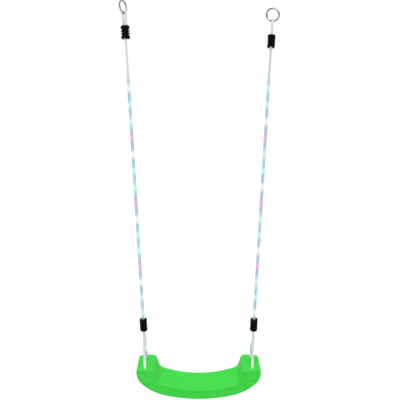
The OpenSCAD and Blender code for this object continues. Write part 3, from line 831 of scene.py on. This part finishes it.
def top_curve():
    """The seat's top surface from the middle outwards, as (x, z) points."""
    cosine, sine = math.cos(RAMP_A), math.sin(RAMP_A)
    run = ramp_run(cosine, sine)
    foot = (RAMP_X - cosine * run - sine * RAMP_FOOT_R, cosine * RAMP_FOOT_R - sine * run)
    meet_a = math.atan2(foot[1] - SAG_CZ, foot[0])
    sag_x = np.linspace(CURVE_FROM, SAG_R * math.cos(meet_a), SAG_STEPS)
    head_run = RAMP_TOP_R * math.tan(RAMP_A / 2)
    head = (RAMP_X + head_run, -RAMP_TOP_R)
    points = [(x, SAG_CZ - math.sqrt(SAG_R**2 - x * x)) for x in sag_x]
    points += arc_points(foot, RAMP_FOOT_R, meet_a, RAMP_A - math.pi / 2, FOOT_STEPS)
    points += [(RAMP_X - cosine * r, -sine * r) for r in np.linspace(run, head_run, RAMP_STEPS)]
    points += arc_points(head, RAMP_TOP_R, RAMP_A + math.pi / 2, math.pi / 2, HEAD_STEPS)
    pad_x = np.linspace(head[0] + CURVE_GAP, CURVE_TO, PAD_STEPS)
    return np.array(points + [(x, 0.0) for x in pad_x])


def distance_grid():
    """Signed distance to the top curve on a 1 mm grid, negative in the seat."""
    curve = top_curve()
    starts, ways = curve[:-1], np.diff(curve, axis=0)
    across, upright = np.arange(0, GRID_OUT + 1.0), np.arange(GRID_LOW, GRID_HIGH + 1.0)
    grid_x, grid_z = np.meshgrid(across, upright, indexing="ij")
    points = np.stack([grid_x.ravel(), grid_z.ravel()], 1)
    best = np.full(len(points), np.inf)
    for first in range(0, len(starts), SEGMENTS_AT_ONCE):
        start = starts[first:first + SEGMENTS_AT_ONCE]
        way = ways[first:first + SEGMENTS_AT_ONCE]
        share = ((points[:, None] - start) * way).sum(-1) / np.maximum((way * way).sum(-1), TINY)
        gap = points[:, None] - start - np.clip(share, 0, 1)[..., None] * way
        best = np.minimum(best, np.linalg.norm(gap, axis=-1).min(1))
    level = np.interp(points[:, 0], curve[:, 0], curve[:, 1])
    return (best * np.where(points[:, 1] > level, 1, -1)).reshape(grid_x.shape)


top_grid = distance_grid()


def top_distance(x, z):
    """The grid's distance at any point, between the four nearest grid points."""
    across = np.clip(np.abs(x), 0, GRID_OUT - GRID_EDGE)
    upright = np.clip(z - GRID_LOW, 0, GRID_HIGH - GRID_LOW - GRID_EDGE)
    i, j = across.astype(int), upright.astype(int)
    u, v = across - i, upright - j
    low = top_grid[i, j] * (1 - u) + top_grid[i + 1, j] * u
    high = top_grid[i, j + 1] * (1 - u) + top_grid[i + 1, j + 1] * u
    return low * (1 - v) + high * v


def lower_distance(x, z):
    """Signed distance to the seat's outline from the front, three tangent arcs a side."""
    x = np.abs(x)
    low = np.hypot(x, z - LOW_CZ) - LOW_R
    mid = np.hypot(x - MID_C[0], z - MID_C[1]) - MID_R
    end = np.hypot(x - END_C[0], z - END_C[1]) - END_R
    past_mid = x * -MID_DIR[1] + (z - LOW_CZ) * MID_DIR[0] > 0
    past_end = (x - MID_C[0]) * -END_DIR[1] + (z - MID_C[1]) * END_DIR[0] > 0
    return np.where(past_end & past_mid, end, np.where(past_mid, mid, low))


def plan_distance(x, y, half_y):
    """Signed distance to the seat's outline from above, a rectangle with round corners."""
    past_x, past_y = np.abs(x) - (HALF_W - PLAN_R), np.abs(y) - (half_y - PLAN_R)
    outside = np.hypot(np.maximum(past_x, 0), np.maximum(past_y, 0))
    return outside + np.minimum(np.maximum(past_x, past_y), 0) - PLAN_R


def rounded(a, b, edge_r):
    """Signed distance to where two solids overlap, with the edge between them rounded."""
    outside = np.hypot(np.maximum(a + edge_r, 0), np.maximum(b + edge_r, 0))
    return outside + np.minimum(np.maximum(a, b) + edge_r, 0) - edge_r


def seat_skin(points):
    """Signed distance (negative inside) to the seat's finished outer skin."""
    x, y, z = points.T
    above = SAG_R - np.hypot(x, z - SAG_CZ)
    top = top_distance(x, z)
    half_y = HALF_D - EAR_STEP * blend_step(above, *EAR_BLEND)
    half_y -= FLARE * (1 - blend_step(-top, FLARE_FROM, FLARE_H))
    half_y += LIP * (1 - blend_step(-top, *LIP_BLEND))
    side = rounded(plan_distance(x, y, half_y), lower_distance(x, z), LOWER_EDGE_R)
    edge_r = EDGE_R + (PAD_EDGE_R - EDGE_R) * blend_step(np.abs(x), *PAD_EDGE_X)
    return rounded(top, side, edge_r)


def seat_hard(points):
    """Signed distance to the CAD seat's outer skin, hollow and holes left out."""
    x, y, z = points.T
    on_ear = SAG_R - EAR_LEVEL - np.hypot(x, z - SAG_CZ) > 0
    half_y = np.where(on_ear, HALF_D - EAR_STEP, HALF_D)
    side = np.maximum(plan_distance(x, y, half_y), lower_distance(x, z))
    return np.maximum(top_distance(x, z), side)


def drawn_to_skin(points):
    """The points (mm), with those near the CAD's outer skin moved onto the finished one."""
    weight = blend_step(seat_hard(points), *SKIN_BAND)[:, None]
    skin = weight[:, 0] > 0
    moved, share = points[skin], weight[skin]
    for _ in range(SKIN_PULLS):
        gap = seat_skin(moved)
        slopes = [seat_skin(moved + step) - seat_skin(moved - step) for step in np.eye(3) * PROBE]
        slope = np.stack(slopes, 1) / (2 * PROBE)
        slope /= np.maximum(np.linalg.norm(slope, axis=1), LEAST_SLOPE)[:, None]
        moved = moved - share * gap[:, None] * slope
    result = points.copy()
    result[skin] = moved
    return result


def mark_rim_shade(mesh):
    """Store on each point how close it is to the seat's lower outline, for the painted shade along it."""
    x, _, z = ((get_points(mesh) - seat_mid) / MM).T
    rim_shade = 1 - blend_step(-lower_distance(x, z), *RIM_SHADE_BAND)
    layer = mesh.attributes.new("rim_shade", "FLOAT", "POINT")
    layer.data.foreach_set("value", rim_shade.astype(np.float32))


def make_seat():
    """The green seat with softened edges and a flared skirt."""
    mesh = softened("seat", SEAT_VOXEL, SEAT_PASSES)
    points = drawn_to_skin((get_points(mesh) - seat_mid) / MM)
    set_points(mesh, points * MM + seat_mid)
    mesh = thinned(mesh, SEAT_FACES)
    mark_rim_shade(mesh)
    piece = place_piece("seat_moulded", mesh, green, "seat")
    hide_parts("seat")


make_seat()

# ---------------------------------------------------------------- floor and light
FLOOR_HALF, FLOOR_DROP = 30, 0.45
SKY, SKY_SEEN = 0.63, 1.02


def make_floor():
    """A pale floor well below the seat."""
    corners = [(-FLOOR_HALF, -FLOOR_HALF, 0), (FLOOR_HALF, -FLOOR_HALF, 0)]
    corners += [(FLOOR_HALF, FLOOR_HALF, 0), (-FLOOR_HALF, FLOOR_HALF, 0)]
    mesh = bpy.data.meshes.new("floor")
    mesh.from_pydata(corners, [], [(0, 1, 2, 3)])
    pale = Mat("floor_pale")
    pale.set(
        Base_Color=pale.mix(pale.noise(1.5, 2), (0.92, 0.92, 0.92), (0.95, 0.95, 0.95)),
        Roughness=0.9,
        Specular_IOR_Level=0.1,
        Emission_Color=(1, 1, 1, 1),
        Emission_Strength=0.05,
    )
    mesh.materials.append(pale.material)
    floor = bpy.data.objects.new("floor", mesh)
    scene.collection.objects.link(floor)
    floor.location = (mid_x, 0, seat_lo.z - FLOOR_DROP)


def make_world():
    """A white studio whose backdrop looks brighter than the light it gives."""
    world = bpy.data.worlds.new("studio")
    scene.world = world
    world.use_nodes = True
    tree = world.node_tree
    backdrop = tree.nodes["Background"]
    backdrop.inputs["Color"].default_value = (1, 1, 1, 1)
    seen = tree.nodes.new("ShaderNodeLightPath")
    level = tree.nodes.new("ShaderNodeMapRange")
    level.inputs["To Min"].default_value = SKY
    level.inputs["To Max"].default_value = SKY_SEEN
    tree.links.new(seen.outputs["Is Camera Ray"], level.inputs["Value"])
    tree.links.new(level.outputs["Result"], backdrop.inputs["Strength"])


def sun(name, towards, strength, spread, glossy_only=False):
    """A sun shining towards a direction; a glossy one only makes highlights."""
    light = bpy.data.lights.new(name, "SUN")
    light.energy = strength
    light.angle = math.radians(spread)
    lamp = bpy.data.objects.new(name, light)
    scene.collection.objects.link(lamp)
    lamp.rotation_euler = Vector(towards).to_track_quat("-Z", "Y").to_euler()
    lamp.visible_diffuse = not glossy_only


make_floor()
make_world()
scene.view_settings.view_transform = "Standard"
sun("overhead", (0.04, 0.05, -1), 1.5, 40)
sun("front_glint", (-0.75, 1.0, -0.75), 4.0, 8, glossy_only=True)
